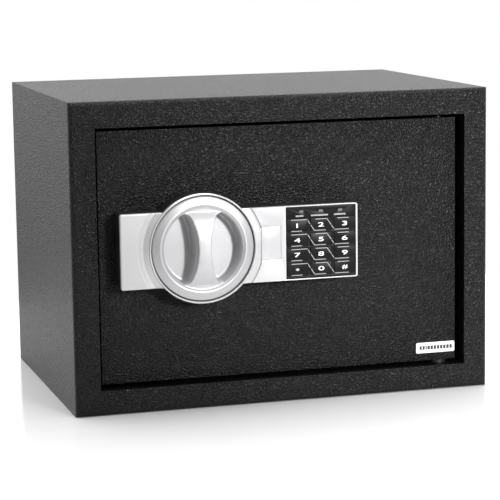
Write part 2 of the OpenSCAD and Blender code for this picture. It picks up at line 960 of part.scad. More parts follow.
body_shell();
back_panel();
door_frame();
strike_bar();
hinge_pins();
hinge_washers();
floor_mat();
door_panel();
hinge_lugs();
fascia_base();
fascia_cover();
knob_collar();
keypad_plate();
key_mat();
keypad_board();
indicator_lenses();
keypad_ribbon();
fascia_screws();
serial_label();
key_cover();
lock_cylinder();
lock_nut();
lock_plug();
lock_cam();
knob();
knob_shaft();
shaft_bushing();
shaft_clip();
crank_disc();
crank_pin();
bolt_carriage();
live_bolts();
bolt_nuts();
bolt_bracket();
carriage_studs();
solenoid_frame();
solenoid_coil();
solenoid_plunger();
plunger_spring();
control_board();
battery_holder();
battery_contacts();
batteries();
battery_lid();
reset_switch();
reset_button();
inner_cover();
cover_screws();
for (i = [0:len(KEYS) - 1])
    key_cap(i);
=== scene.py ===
import json
import math

import bmesh
import bpy
from mathutils import Matrix, Vector, noise

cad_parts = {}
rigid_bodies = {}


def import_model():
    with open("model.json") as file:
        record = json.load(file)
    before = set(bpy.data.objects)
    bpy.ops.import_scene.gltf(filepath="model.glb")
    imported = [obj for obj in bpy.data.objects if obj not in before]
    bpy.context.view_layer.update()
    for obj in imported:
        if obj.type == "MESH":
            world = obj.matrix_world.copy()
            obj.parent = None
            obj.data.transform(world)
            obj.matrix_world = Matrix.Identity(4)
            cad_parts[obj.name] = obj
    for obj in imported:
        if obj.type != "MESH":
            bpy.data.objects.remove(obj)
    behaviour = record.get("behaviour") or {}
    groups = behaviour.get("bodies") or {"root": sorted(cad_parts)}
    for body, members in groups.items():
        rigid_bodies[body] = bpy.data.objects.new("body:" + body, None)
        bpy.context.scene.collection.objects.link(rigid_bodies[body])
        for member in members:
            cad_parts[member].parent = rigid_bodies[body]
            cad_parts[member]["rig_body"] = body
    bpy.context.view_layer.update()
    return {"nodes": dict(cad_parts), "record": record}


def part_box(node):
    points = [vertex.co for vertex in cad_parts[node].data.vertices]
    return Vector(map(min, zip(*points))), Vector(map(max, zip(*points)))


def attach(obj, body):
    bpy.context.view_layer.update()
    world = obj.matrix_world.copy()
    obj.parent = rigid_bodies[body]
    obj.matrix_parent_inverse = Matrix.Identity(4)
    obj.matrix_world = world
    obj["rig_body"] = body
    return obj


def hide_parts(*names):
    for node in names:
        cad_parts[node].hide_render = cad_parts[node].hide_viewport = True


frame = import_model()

MM = 0.001
SCENE = bpy.context.scene

# Places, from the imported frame
FRONT_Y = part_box("door_frame")[0].y
KNOB_LOW, KNOB_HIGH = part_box("knob")
KNOB_X = (KNOB_LOW.x + KNOB_HIGH.x) / 2
KNOB_Z = (KNOB_LOW.z + KNOB_HIGH.z) / 2
PLATE_LOW, PLATE_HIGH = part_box("keypad_plate")
PLATE_X = (PLATE_LOW.x + PLATE_HIGH.x) / 2
NODE_SLOT = {p["node"]: p["material_slot"] for p in frame["record"]["subparts"]}


def at(x, depth, z):
    """A point from millimetres: across, back from the front face, and up."""
    return Vector((x * MM, FRONT_Y + depth * MM, z * MM))


# ---------------------------------------------------------------- camera

CAMERA_AZIMUTH = math.radians(-16.36)
CAMERA_ELEVATION = math.radians(8.79)
CAMERA_ROLL = math.radians(-0.82)
CAMERA_DISTANCE = 1.63713
CAMERA_LENS = 147.14
CAMERA_SENSOR = 36
CAMERA_TARGET = at(-30.14, 0, 126.68)


def make_camera():
    cos_e, sin_e = math.cos(CAMERA_ELEVATION), math.sin(CAMERA_ELEVATION)
    back = Vector((math.sin(CAMERA_AZIMUTH) * cos_e, -math.cos(CAMERA_AZIMUTH) * cos_e, sin_e))
    right = Vector((math.cos(CAMERA_AZIMUTH), math.sin(CAMERA_AZIMUTH), 0))
    up = back.cross(right)
    rolled_right = math.cos(CAMERA_ROLL) * right + math.sin(CAMERA_ROLL) * up
    rolled_up = -math.sin(CAMERA_ROLL) * right + math.cos(CAMERA_ROLL) * up
    data = bpy.data.cameras.new("camera")
    data.lens = CAMERA_LENS
    data.sensor_width = CAMERA_SENSOR
    camera = bpy.data.objects.new("camera", data)
    turn = Matrix((rolled_right, rolled_up, back)).transposed().to_4x4()
    camera.matrix_world = Matrix.Translation(CAMERA_TARGET + back * CAMERA_DISTANCE) @ turn
    SCENE.collection.objects.link(camera)
    SCENE.camera = camera


# ---------------------------------------------------------------- materials


class Nodes:
    """Short names for building a material's node tree."""

    def __init__(self, name):
        self.material = bpy.data.materials.new(name)
        self.material.use_nodes = True
        self.tree = self.material.node_tree
        self.shader = self.tree.nodes["Principled BSDF"]
        self.place = self.add("ShaderNodeTexCoord").outputs["Object"]

    def add(self, kind, **settings):
        node = self.tree.nodes.new(kind)
        for key, value in settings.items():
            setattr(node, key, value)
        return node

    def link(self, source, target):
        self.tree.links.new(source, target)

    def stretched(self, scale, turn=(0, 0, 0)):
        mapping = self.add("ShaderNodeMapping")
        mapping.inputs["Scale"].default_value = scale
        mapping.inputs["Rotation"].default_value = turn
        self.link(self.place, mapping.inputs["Vector"])
        return mapping.outputs["Vector"]

    def noise(self, scale, detail=3.0, rough=0.5, vector=None):
        node = self.add("ShaderNodeTexNoise")
        node.inputs["Scale"].default_value = scale
        node.inputs["Detail"].default_value = detail
        node.inputs["Roughness"].default_value = rough
        self.link(vector or self.place, node.inputs["Vector"])
        return node.outputs["Fac"]

    def cells(self, scale, smooth):
        node = self.add("ShaderNodeTexVoronoi", feature="SMOOTH_F1")
        node.inputs["Scale"].default_value = scale
        node.inputs["Smoothness"].default_value = smooth
        self.link(self.place, node.inputs["Vector"])
        return node.outputs["Distance"]

    def spread(self, value, low, high, from_low=0.3, from_high=0.7):
        node = self.add("ShaderNodeMapRange")
        node.inputs["From Min"].default_value = from_low
        node.inputs["From Max"].default_value = from_high
        node.inputs["To Min"].default_value = low
        node.inputs["To Max"].default_value = high
        self.link(value, node.inputs["Value"])
        return node.outputs["Result"]

    def mix(self, value, dark, light):
        node = self.add("ShaderNodeMix", data_type="RGBA")
        node.inputs["A"].default_value = (*dark, 1)
        node.inputs["B"].default_value = (*light, 1)
        self.link(value, node.inputs["Factor"])
        return node.outputs["Result"]

    def bump(self, height, strength, distance, below=None):
        node = self.add("ShaderNodeBump")
        node.inputs["Strength"].default_value = strength
        node.inputs["Distance"].default_value = distance
        self.link(height, node.inputs["Height"])
        if below is not None:
            self.link(below, node.inputs["Normal"])
        return node.outputs["Normal"]

    def surface(self, color, roughness, normal=None, metallic=0.0, **uniform):
        self.link(color, self.shader.inputs["Base Color"])
        self.link(roughness, self.shader.inputs["Roughness"])
        if normal is not None:
            self.link(normal, self.shader.inputs["Normal"])
        self.shader.inputs["Metallic"].default_value = metallic
        for socket, value in uniform.items():
            self.shader.inputs[socket.replace("_", " ")].default_value = value
        return self.material


def grey(value, blue=0.0):
    return (value, value, value + blue)


def powder_coat():
    """Black powder coat: fine pebbles a millimetre or two across, with softer waves under them."""
    n = Nodes("black_powder_coat")
    pebbles = n.cells(800, 0.6)
    grain = n.noise(1500, 2.0)
    color = n.mix(n.spread(pebbles, 0, 1, 0.1, 0.75), grey(0.0052), grey(0.0036))
    waves = n.bump(n.noise(300, 2.0), 0.22, 0.0005)
    pebbled = n.bump(pebbles, 1.0, 0.0010, waves)
    fine = n.bump(grain, 0.2, 0.0001, pebbled)
    return n.surface(color, n.spread(grain, 0.32, 0.46), fine, IOR=1.28)


def plastic(name, color, roughness, grain=2600, strength=0.08, ior=1.45):
    """Moulded plastic with a fine spark-eroded texture and faint uneven gloss."""
    n = Nodes(name)
    tone = n.noise(35, 3.0)
    dark = tuple(0.9 * c for c in color)
    fine = n.noise(grain, 2.0)
    return n.surface(n.mix(tone, dark, color), n.spread(tone, roughness - 0.04, roughness + 0.06),
                     n.bump(fine, strength, 0.00005), IOR=ior)


def silver_paint(name, color, roughness, metallic):
    """Metallic silver paint: very fine flakes under a satin coat."""
    n = Nodes(name)
    flakes = n.cells(5200, 0.2)
    cloud = n.noise(18, 2.0)
    dark = tuple(0.94 * c for c in color)
    tone = n.mix(n.spread(flakes, 0, 1, 0.1, 0.7), color, dark)
    return n.surface(tone, n.spread(cloud, roughness - 0.03, roughness + 0.05),
                     n.bump(flakes, 0.04, 0.00003), metallic=metallic)


def turned_silver(name, color, roughness, metallic, strength):
    """Silver with fine concentric turning marks round the knob's axis."""
    n = Nodes(name)
    shift = n.add("ShaderNodeVectorMath", operation="SUBTRACT")
    shift.inputs[1].default_value = (KNOB_X, 0, KNOB_Z)
    n.link(n.place, shift.inputs[0])
    flat = n.add("ShaderNodeVectorMath", operation="MULTIPLY")
    flat.inputs[1].default_value = (1, 0, 1)
    n.link(shift.outputs["Vector"], flat.inputs[0])
    radius = n.add("ShaderNodeVectorMath", operation="LENGTH")
    n.link(flat.outputs["Vector"], radius.inputs[0])
    ring_place = n.add("ShaderNodeCombineXYZ")
    n.link(radius.outputs["Value"], ring_place.inputs["X"])
    marks = n.noise(2600, 3.0, 0.6, ring_place.outputs["Vector"])
    dark = tuple(0.86 * c for c in color)
    return n.surface(n.mix(n.spread(marks, 0, 1), dark, color), n.spread(marks, roughness - 0.05, roughness + 0.08),
                     n.bump(marks, strength, 0.00006), metallic=metallic)


def bare_metal(name, color, roughness, stretch, marks, strength=0.1):
    """Plated or pressed metal. Its drawing marks run along the axis with the smallest stretch."""
    n = Nodes(name)
    lines = n.noise(marks, 3.0, 0.6, n.stretched(stretch))
    tone = n.noise(60, 3.0)
    dark = tuple(0.8 * c for c in color)
    return n.surface(n.mix(tone, dark, color), n.spread(lines, roughness - 0.05, roughness + 0.12),
                     n.bump(lines, strength, 0.00005), metallic=1.0)


def circuit_board():
    """Green board with pale copper tracks under the lacquer."""
    n = Nodes("circuit_board")
    tracks = n.add("ShaderNodeTexWave", wave_type="BANDS", bands_direction="X")
    tracks.inputs["Scale"].default_value = 120
    tracks.inputs["Distortion"].default_value = 14
    tracks.inputs["Detail"].default_value = 1
    n.link(n.place, tracks.inputs["Vector"])
    line = n.spread(tracks.outputs["Fac"], 0, 1, 0.78, 0.86)
    return n.surface(n.mix(line, (0.012, 0.10, 0.045), (0.03, 0.22, 0.10)), n.spread(n.noise(90), 0.25, 0.4),
                     n.bump(line, 0.3, 0.00005))


def felt():
    """Dark needle felt: matted short fibres."""
    n = Nodes("needle_felt")
    long_fibres = n.noise(900, 6.0, 0.75, n.stretched((1, 0.25, 1), (0, 0, 0.6)))
    cross_fibres = n.noise(900, 6.0, 0.75, n.stretched((0.25, 1, 1), (0, 0, -0.3)))
    both = n.add("ShaderNodeMath", operation="ADD")
    n.link(long_fibres, both.inputs[0])
    n.link(cross_fibres, both.inputs[1])
    height = n.spread(both.outputs["Value"], 0, 1, 0.7, 1.3)
    return n.surface(n.mix(height, grey(0.012), grey(0.045, 0.003)), n.spread(height, 0.85, 0.98),
                     n.bump(height, 0.8, 0.0005), Sheen_Weight=0.4, Sheen_Roughness=0.6)


def cell_wrap():
    """Printed battery sleeves: a dark body with a copper-coloured end band."""
    n = Nodes("battery_wrap")
    split = n.add("ShaderNodeSeparateXYZ")
    n.link(n.place, split.inputs["Vector"])
    band_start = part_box("batteries")[0].x + 0.034
    band = n.spread(split.outputs["X"], 0, 1, band_start, band_start + 0.0002)
    return n.surface(n.mix(band, grey(0.015), (0.55, 0.26, 0.09)), n.spread(n.noise(70), 0.25, 0.36),
                     n.bump(n.noise(600), 0.03, 0.00005), metallic=0.5)


def ribbed(name, dark, light, scale, direction, roughness):
    """Parallel fine ribs, as on a winding or a flat cable."""
    n = Nodes(name)
    wave = n.add("ShaderNodeTexWave", wave_type="BANDS", bands_direction=direction)
    wave.inputs["Scale"].default_value = scale
    n.link(n.place, wave.inputs["Vector"])
    ribs = wave.outputs["Fac"]
    return n.surface(n.mix(ribs, dark, light), n.spread(n.noise(200), roughness - 0.05, roughness + 0.08),
                     n.bump(ribs, 0.5, 0.0002))


MATERIALS = {
    "black_powder": powder_coat(),
    "black_plastic": plastic("black_plastic", grey(0.012), 0.42),
    "keypad_black": plastic("keypad_black", grey(0.005), 0.42, grain=1800, strength=0.05, ior=1.22),
    "silver_plastic": silver_paint("silver_paint", grey(0.50, 0.008), 0.34, metallic=0.25),
    "knob_silver": silver_paint("knob_silver_paint", grey(0.47, 0.008), 0.38, metallic=0.35),
    "silver_lip": turned_silver("bright_lip", grey(0.74, 0.01), 0.22, metallic=0.45, strength=0.15),
    "bright_steel": bare_metal("bright_plate", grey(0.72, 0.01), 0.22, stretch=(1, 6, 6), marks=500),
    "zinc_steel": bare_metal("zinc_plate", grey(0.52, 0.015), 0.36, stretch=(4, 4, 1), marks=300, strength=0.2),
    "brass": bare_metal("turned_brass", (0.72, 0.50, 0.20), 0.3, stretch=(3, 1, 3), marks=500),
    # Black oxide steel for the hinge pins. Its near-black colour is partly the oxide finish and partly painted shade:
    # the pins are kept as dark as the shaded gap between door and frame where they sit.
    "black_oxide": bare_metal("black_oxide", grey(0.03), 0.4, stretch=(4, 4, 1), marks=300),
    # Black nylon for the hinge washer. Its near-black colour is partly the nylon's own colour and partly painted
    # shade, matching the shaded gap under the door where the washer sits.
    "nylon": plastic("nylon", grey(0.012), 0.45),
    "rubber_grey": plastic("silicone_rubber", grey(0.20, 0.01), 0.6, grain=900, strength=0.15),
    "circuit_green": circuit_board(),
    "lens_dark": plastic("dark_window", grey(0.13, 0.004), 0.2, grain=1200, strength=0.02),
    "ribbon_grey": ribbed("flat_cable", grey(0.22), grey(0.40), 160, "X", roughness=0.45),
    "coil_copper": ribbed("copper_winding", (0.20, 0.06, 0.03), (0.55, 0.20, 0.09), 500, "Z", roughness=0.35),
    "label_white": plastic("label_paper", grey(0.86), 0.5, grain=1500, strength=0.05),
    "cell_wrap": cell_wrap(),
    "button_red": plastic("button_red", (0.55, 0.02, 0.015), 0.3),
    "felt": felt(),
}
RING_SILVER = turned_silver("brushed_ring", grey(0.46, 0.008), 0.38, metallic=0.55, strength=0.5)
PRINT_WHITE = plastic("key_print_white", grey(0.82), 0.5, grain=1200, strength=0.03)
PRINT_GREY = plastic("key_print_grey", grey(0.27, 0.006), 0.5, grain=1200, strength=0.03)
LABEL_INK = plastic("label_ink", grey(0.02), 0.6, grain=1200, strength=0.03)


def paint_cad_nodes():
    for node, obj in frame["nodes"].items():
        obj.data.materials.clear()
        obj.data.materials.append(MATERIALS[NODE_SLOT[node]])


# ---------------------------------------------------------------- mesh helpers

# Angles in degrees: what counts as flat or as an edge, and up to where shading is smooth
FLAT_ANGLE, EDGE_ANGLE = 1, 30
SMOOTH_ANGLE, FASCIA_SMOOTH_ANGLE, FELT_SMOOTH_ANGLE = 35, 25, 50
WELD_REACH, FLUSH_REACH = 0.002 * MM, 0.05 * MM
ARC_STEPS, LATHE_STEPS = 48, 192


def new_piece(name, mesh, body, material):
    obj = bpy.data.objects.new(name, mesh)
    SCENE.collection.objects.link(obj)
    obj.data.materials.append(material)
    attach(obj, body)
    return obj


def finished(bm, name):
    mesh = bpy.data.meshes.new(name)
    bm.to_mesh(mesh)
    bm.free()
    return mesh


def apply_modifiers(obj):
    bpy.context.view_layer.update()
    evaluated = obj.evaluated_get(bpy.context.evaluated_depsgraph_get())
    mesh = bpy.data.meshes.new_from_object(evaluated)
    obj.modifiers.clear()
    obj.data = mesh


def smooth_by_angle(mesh, degrees=SMOOTH_ANGLE):
    for polygon in mesh.polygons:
        polygon.use_smooth = True
    mesh.set_sharp_from_angle(angle=math.radians(degrees))


def soften(node, width_mm, segments, flush_depth=None):
    """A copy of a CAD node with its sharp edges rounded, which stands for the node.
    Edges at flush_depth stay sharp: a neighbour is welded on there and ground smooth."""
    source = frame["nodes"][node]
    mesh = source.data.copy()
    bm = bmesh.new()
    bm.from_mesh(mesh)
    bmesh.ops.remove_doubles(bm, verts=bm.verts, dist=WELD_REACH)
    bmesh.ops.dissolve_limit(bm, angle_limit=math.radians(FLAT_ANGLE), verts=bm.verts, edges=bm.edges)
    flush_y = None if flush_depth is None else FRONT_Y + flush_depth * MM

    def rounded(edge):
        if not edge.is_manifold or edge.calc_face_angle() <= math.radians(EDGE_ANGLE):
            return False
        return flush_y is None or any(abs(v.co.y - flush_y) >= FLUSH_REACH for v in edge.verts)

    edges = [e for e in bm.edges if rounded(e)]
    bmesh.ops.bevel(bm, geom=edges, offset=width_mm * MM, segments=segments, profile=0.5, affect="EDGES",
                    clamp_overlap=True)
    bm.to_mesh(mesh)
    bm.free()
    mesh.materials.clear()
    slot = NODE_SLOT[node]
    obj = new_piece(node + "_finished", mesh, source["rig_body"], MATERIALS[slot])
    smooth_by_angle(obj.data)
    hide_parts(node)
    return obj


def loft(name, loops):
    """A closed mesh through loops that have the same number of points each."""
    bm = bmesh.new()
    rings = [[bm.verts.new(p) for p in loop] for loop in loops]
    count = len(rings[0])
    for low, high in zip(rings, rings[1:]):
        for i in range(count):
            j = (i + 1) % count
            bm.faces.new((low[i], low[j], high[j], high[i]))
    bm.faces.new(list(reversed(rings[0])))
    bm.faces.new(rings[-1])
    bmesh.ops.recalc_face_normals(bm, faces=bm.faces)
    return finished(bm, name)


def arc_loft(name, section, start, end):
    """A ring's arc round the knob's axis, between two angles in degrees. The section is in (radius, depth)."""
    loops = []
    for i in range(ARC_STEPS + 1):
        t = math.radians(start + (end - start) * i / ARC_STEPS)
        loops.append([Vector((KNOB_X + r * MM * math.cos(t), FRONT_Y + d * MM, KNOB_Z + r * MM * math.sin(t)))
                      for r, d in section])
    return loft(name, loops)


def lathe(name, profile):
    """A solid turned round the knob's axis. The profile is a closed line of (radius, depth) in millimetres."""
    turns = [2 * math.pi * i / LATHE_STEPS for i in range(LATHE_STEPS)]
    bm = bmesh.new()
    rings = []
    for radius, depth in profile:
        if radius == 0:
            rings.append([bm.verts.new((KNOB_X, FRONT_Y + depth * MM, KNOB_Z))] * LATHE_STEPS)
            continue
        rings.append([bm.verts.new((KNOB_X + radius * MM * math.cos(t), FRONT_Y + depth * MM,
                                    KNOB_Z + radius * MM * math.sin(t))) for t in turns])
    closed = profile[0][0] > 0
    pairs = list(zip(rings, rings[1:])) + ([(rings[-1], rings[0])] if closed else [])
    for low, high in pairs:
        for i in range(LATHE_STEPS):
            j = (i + 1) % LATHE_STEPS
            corners = [low[i], low[j], high[j], high[i]]
            unique = list(dict.fromkeys(corners))
            if len(unique) > 2:
                bm.faces.new(unique)
    bmesh.ops.recalc_face_normals(bm, faces=bm.faces)
    return finished(bm, name)


# ---------------------------------------------------------------- knob

RING_INNER = 33.4
GRIP_HALF = 6.0
POCKET_R = 32.0
POCKET_SIDE_R = 63.75
POCKET_CORNER_R = 4.0
POCKET_FLOOR = -1.2
DISC_DEPTH = -15.4
GRIP_TOP = KNOB_LOW.y - FRONT_Y + 0.15 * MM
GRIP_REACH = 29.0
GRIP_ARCH = 3.2
GRIP_CROWN = 0.5
GRIP_STEPS = 36
# Outlines round the knob's axis as (radius, depth), and a pocket's walls as (how far it shrinks, depth)
KNOB_PROFILE = [(0, 1), (40.9, 1), (41.9, 0), (41.9, -8.0), (41.6, -8.4), (41.6, -14.4), (41.3, -14.9), (40.7, -15.2),
                (35.6, -16.7), (34.6, -16.8), (RING_INNER, -16.2), (32.7, DISC_DEPTH), (0, DISC_DEPTH)]
LIP_PROFILE = [(42.5, -13.05), (42.5, -15.9), (42.75, -16.4), (43.3, -16.4), (43.85, -15.8), (43.85, -13.05)]
POCKET_WALLS = [(-1.0, -26), (-0.9, -17), (-0.5, -15.8), (0, -14.6), (0.5, -4.0), (0.8, -2.4), (1.3, -1.5),
                (2.0, POCKET_FLOOR)]
KNOB_VOXEL = 0.5
KNOB_BLEND, KNOB_BLEND_TURNS = 0.5, 5
RING_MARGIN = 0.4


def pocket_loop(shrink, depth, side):
    """The outline of a finger pocket, shrunk, at a depth: two arcs joined by rounded corners."""
    c = POCKET_CORNER_R
    centre_x = -GRIP_HALF - POCKET_SIDE_R
    ring, grip = POCKET_R - c, POCKET_SIDE_R - c
    corner_x = (ring ** 2 - grip ** 2 + centre_x ** 2) / (2 * centre_x)
    corner_z = math.sqrt(ring ** 2 - corner_x ** 2)
    ring_angle = math.atan2(corner_z, corner_x)
    grip_angle = math.atan2(corner_z, corner_x - centre_x)
    arcs = [(0, 0, POCKET_R, ring_angle, 2 * math.pi - ring_angle, 40),
            (corner_x, -corner_z, c, -ring_angle, -grip_angle, 12),
            (centre_x, 0, POCKET_SIDE_R, -grip_angle, grip_angle, 40),
            (corner_x, corner_z, c, grip_angle, ring_angle, 12)]
    points = []
    for x, z, radius, start, end, steps in arcs:
        for i in range(steps):
            t = start + (end - start) * i / steps
            r = radius - shrink
            points.append(at(side * (x + r * math.cos(t)), depth, z + r * math.sin(t)) + Vector((KNOB_X, 0, KNOB_Z)))
    return points


def grip_loft():
    """The grip bar's block, arched from end to end; the pockets cut its sides."""
    loops = []
    for i in range(GRIP_STEPS + 1):
        z = -GRIP_REACH + 2 * GRIP_REACH * i / GRIP_STEPS
        side = -GRIP_HALF - POCKET_SIDE_R + math.sqrt(POCKET_SIDE_R ** 2 - z ** 2)
        half = -side + 1.5
        rise = (DISC_DEPTH * MM - GRIP_TOP) * (1 - abs(z / GRIP_REACH) ** GRIP_ARCH)
        top = DISC_DEPTH - max(rise / MM, 0.05)
        crown = GRIP_CROWN * min(1, rise / (2 * MM))
        row = [(-half, DISC_DEPTH + 2), (half, DISC_DEPTH + 2), (half, top + crown), (half / 2, top + crown / 4),
               (0, top), (-half / 2, top + crown / 4), (-half, top + crown)]
        loops.append([at(x, depth, z) + Vector((KNOB_X, 0, KNOB_Z)) for x, depth in row])
    return loft("grip", loops)


def boolean(obj, tool_mesh, operation):
    tool = bpy.data.objects.new("tool", tool_mesh)
    SCENE.collection.objects.link(tool)
    modifier = obj.modifiers.new("cut", "BOOLEAN")
    modifier.operation = operation
    modifier.solver = "EXACT"
    modifier.object = tool
    apply_modifiers(obj)
    bpy.data.objects.remove(tool)


def make_knob():
    obj = new_piece("knob_moulding", lathe("knob_moulding", KNOB_PROFILE), "knob",
                    MATERIALS["knob_silver"])
    boolean(obj, grip_loft(), "UNION")
    for side in (1, -1):
        boolean(obj, loft("pocket", [pocket_loop(s, d, side) for s, d in POCKET_WALLS]), "DIFFERENCE")
    remesh = obj.modifiers.new("remesh", "REMESH")
    remesh.mode = "VOXEL"
    remesh.voxel_size = KNOB_VOXEL * MM
    blend = obj.modifiers.new("blend", "SMOOTH")
    blend.factor = KNOB_BLEND
    blend.iterations = KNOB_BLEND_TURNS
    apply_modifiers(obj)
    obj.data.materials.append(RING_SILVER)
    for polygon in obj.data.polygons:
        polygon.use_smooth = True
        out = math.hypot(polygon.center.x - KNOB_X, polygon.center.z - KNOB_Z)
        if out > (RING_INNER + RING_MARGIN) * MM:
            polygon.material_index = 1
    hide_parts("knob")


def make_collar():
    obj = new_piece("collar_lip", lathe("collar_lip", LIP_PROFILE), "door", MATERIALS["silver_lip"])
    smooth_by_angle(obj.data)
    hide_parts("knob_collar")


# ---------------------------------------------------------------- fascia

FACE = -14.0
COVER_BACK = -11.0
COVER_CORNER_R = 1.8
COVER_EDGE_R = 1.0
COVER_ROWS, COVER_COLUMNS = 150, 90
DISH_RIM, DISH_VALLEY, DISH_CREST = 53.5, 48.3, 44.1
DISH_DEEP, DISH_RISE = 1.1, 1.5
GROOVE_ARCS = ((16.2, 60), (-60, -13.2))
GROOVE_SECTION = [(50.5, -25), (50.2, FACE + 0.9), (49.2, FACE + 1.2), (48.6, -25)]


def eased(t):
    t = min(max(t, 0), 1)
    return t * t * (3 - 2 * t)


def dish_offset(r):
    """How far the cover lies behind its face at a radius from the knob's axis: a shallow valley, then a cone."""
    if r > DISH_VALLEY:
        return DISH_DEEP * eased((DISH_RIM - r) / (DISH_RIM - DISH_VALLEY))
    return DISH_DEEP - (DISH_DEEP + DISH_RISE) * (DISH_VALLEY - r) / (DISH_VALLEY - DISH_CREST)


def left_cover_mesh(low, high):
    """The part of the cover left of the knob, as a shaped sheet with rounded outer edges and a flat back."""
    left, middle = low.x / MM, (low.z + high.z) / 2 / MM
    half = (high.z - low.z) / 2 / MM
    knob_x = KNOB_X / MM
    loops = []
    for j in range(COVER_ROWS + 1):
        z = -half + 2 * half * (1 - math.cos(math.pi * j / COVER_ROWS)) / 2
        over = max(abs(z) - (half - COVER_CORNER_R), 0)
        start = left + COVER_CORNER_R - math.sqrt(COVER_CORNER_R ** 2 - min(over, COVER_CORNER_R) ** 2)
        end = knob_x - math.sqrt(DISH_CREST ** 2 - z ** 2)
        front = []
        for i in range(COVER_COLUMNS + 1):
            reach = 1 - math.cos(math.pi / 2 * i / COVER_COLUMNS)
            x = start + (end - start) * reach if i < COVER_COLUMNS else end
            inset = min(x - start, half - abs(z), COVER_EDGE_R) / COVER_EDGE_R
            rounded = COVER_EDGE_R * (1 - math.sqrt(1 - (1 - inset) ** 2))
            front.append(at(x, FACE + rounded + dish_offset(math.hypot(x - knob_x, z)), middle + z))
        loops.append(front + [at(end, COVER_BACK, middle + z), at(start, COVER_BACK, middle + z)])
    return loft("fascia_cover_left", loops)


def make_fascia():
    """The silver cover: a dished ring at the knob's left, and two narrow grooves that run to the key cover."""
    low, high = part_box("fascia_cover")
    cover = soften("fascia_cover", 0.7, 3)
    bm = bmesh.new()
    bm.from_mesh(cover.data)
    bmesh.ops.delete(bm, geom=[v for v in bm.verts if v.co.x < KNOB_X], context="VERTS")
    bm.to_mesh(cover.data)
    bm.free()
    for start, end in GROOVE_ARCS:
        boolean(cover, arc_loft("groove", GROOVE_SECTION, start, end), "DIFFERENCE")
    smooth_by_angle(cover.data, FASCIA_SMOOTH_ANGLE)
    left = new_piece("fascia_cover_left", left_cover_mesh(low, high), "door",
                     MATERIALS["silver_plastic"])
    smooth_by_angle(left.data, FASCIA_SMOOTH_ANGLE)


# ---------------------------------------------------------------- keypad print

KEYS = ["1", "2", "3", "4", "5", "6", "7", "8", "9", "star", "0", "hash"]
KEY_BOXES = {name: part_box("key_" + name) for name in KEYS}
PRINT_T = 0.04
KEY_FACE = KEY_BOXES["1"][0].y - PRINT_T * MM
PLATE_FACE = PLATE_LOW.y - PRINT_T * MM
KEY_FLANGE = 0.6 * MM
# How far inside a key's edge its own print starts, and how far outside the plate's print does
ON_KEY, OFF_KEY = 0.15 * MM, -0.3 * MM
LINE_T = 0.65
LINE_STEPS = 150
LINE_TOP, LINE_LOW = 4.55, -4.55
# Each row's lines, in millimetres from the middle of the plate and of the row
LINE_PATHS = [[(-25, LINE_TOP), (-11.5, LINE_TOP), (-5.6, LINE_LOW), (4, LINE_LOW)],
              [(-4.6, LINE_TOP), (5, LINE_TOP), (11.4, LINE_LOW), (23.5, LINE_LOW)],
              [(-25, LINE_LOW), (-16, LINE_LOW)],
              [(14, LINE_TOP), (23.5, LINE_TOP)]]
DIGIT_SIZE, DIGIT_WEIGHT, DIGIT_STRETCH = 4.9, 0.05, 2.2
SIGNS = {"star": "*", "hash": "#"}
SIGN_STRETCH = {"star": 1.4, "hash": 1.6}
# Column, shift and length of each bar under the indicators
INDICATOR_BARS = ((-1, -1.4, 6.5), (0, -1.1, 14.4), (1, -0.4, 9.8))
INDICATOR_BAR_T, INDICATOR_BAR_DROP = 1.2, 2.6
LENS_LENGTH = 3.7


def key_middle(name):
    low, high = KEY_BOXES[name]
    return (low + high) / 2


def owner_of(x, z):
    """The body that carries the print at a point of the keypad: the key there, the door's plate, or none in a gap."""
    for name, (low, high) in KEY_BOXES.items():
        inside = min(x - low.x, high.x - x, z - low.z, high.z - z) - KEY_FLANGE
        if inside > ON_KEY:
            return "key_" + name
        if inside > OFF_KEY:
            return None
    return "door"


def bar(bm, start, end, width, face):
    """A thin printed bar from one point to another on a face of the door's parts, in metres."""
    along = Vector((end[0] - start[0], 0, end[1] - start[1]))
    across = Vector((-along.z, 0, along.x)).normalized() * width / 2
    a, b = Vector((start[0], 0, start[1])), Vector((end[0], 0, end[1]))
    corners = [a - across, b - across, b + across, a + across]
    front = [bm.verts.new(p + Vector((0, face, 0))) for p in corners]
    back = [bm.verts.new(p + Vector((0, face + PRINT_T * MM, 0))) for p in corners]
    bm.faces.new(front)
    bm.faces.new(list(reversed(back)))
    for i in range(4):
        j = (i + 1) % 4
        bm.faces.new((front[j], front[i], back[i], back[j]))


def split_line(start, end):
    """Cuts a printed line where it passes from one key to another, and gives each stretch its body."""
    points = [tuple(s + (e - s) * i / LINE_STEPS for s, e in zip(start, end)) for i in range(LINE_STEPS + 1)]
    stretches = []
    for a, b in zip(points, points[1:]):
        owner = owner_of((a[0] + b[0]) / 2, (a[1] + b[1]) / 2)
        if stretches and stretches[-1][0] == owner:
            stretches[-1][2] = b
        else:
            stretches.append([owner, a, b])
    return [stretch for stretch in stretches if stretch[0]]


def make_key_lines():
    """Each row's stepped lines: over one key, slanting down, and under the next."""
    meshes = {}
    for row in range(4):
        middle = key_middle(KEYS[3 * row]).z
        for path in LINE_PATHS:
            points = [(PLATE_X + x * MM, middle + z * MM) for x, z in path]
            for start, end in zip(points, points[1:]):
                for owner, a, b in split_line(start, end):
                    face = PLATE_FACE if owner == "door" else KEY_FACE
                    bar(meshes.setdefault(owner, bmesh.new()), a, b, LINE_T * MM, face)
    for owner, bm in meshes.items():
        bmesh.ops.recalc_face_normals(bm, faces=bm.faces)
        new_piece("lines_" + owner, finished(bm, "lines_" + owner), owner, PRINT_GREY)


